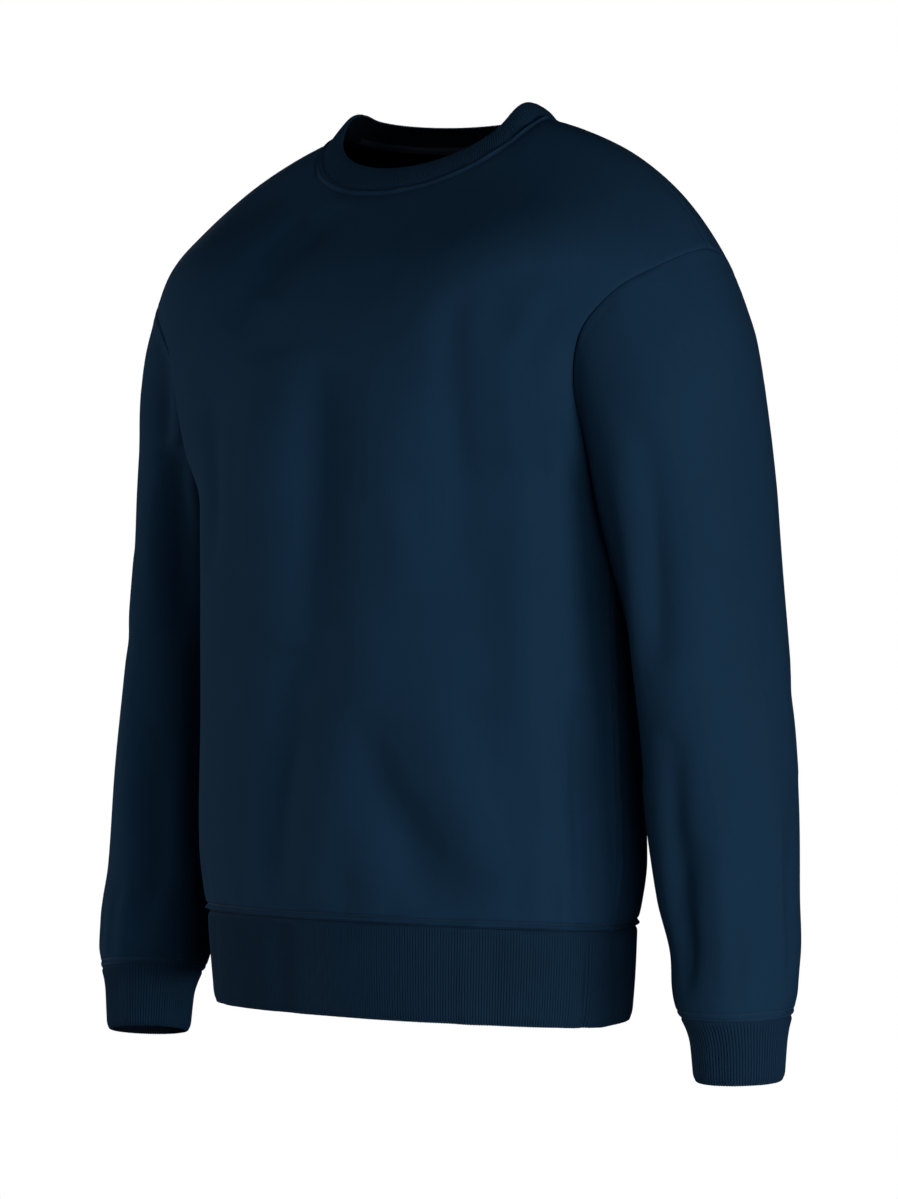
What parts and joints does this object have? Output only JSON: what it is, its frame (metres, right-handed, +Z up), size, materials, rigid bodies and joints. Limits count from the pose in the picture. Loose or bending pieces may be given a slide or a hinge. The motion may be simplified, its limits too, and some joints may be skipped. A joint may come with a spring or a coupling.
{
  "type": "crewneck sweatshirt",
  "caption": "Plain navy crewneck sweatshirt with set-in long sleeves and ribbed neckband, cuffs and hem, filled out as worn and open at the neck, hem and cuffs.",
  "frame": {"origin": "middle of the neck opening, level with the shoulder seams' neck ends", "axes": "+Z up, +X to the wearer's left, -Y to the wearer's front"},
  "size_m": [0.688, 0.308, 0.761],
  "materials": {
    "fleece": "matt navy cotton fleece, fine jersey face, soft nap",
    "rib_knit": "matt navy rib knit, upright ribs",
    "tape": "narrow woven cotton tape, matt navy"
  },
  "bodies": {
    "root": {"front_panel": "fleece", "back_panel": "fleece", "left_sleeve": "fleece", "right_sleeve": "fleece", "neckband": "rib_knit", "hem_rib": "rib_knit", "left_cuff": "rib_knit", "right_cuff": "rib_knit", "neck_tape": "tape"}
  },
  "joints": []
}
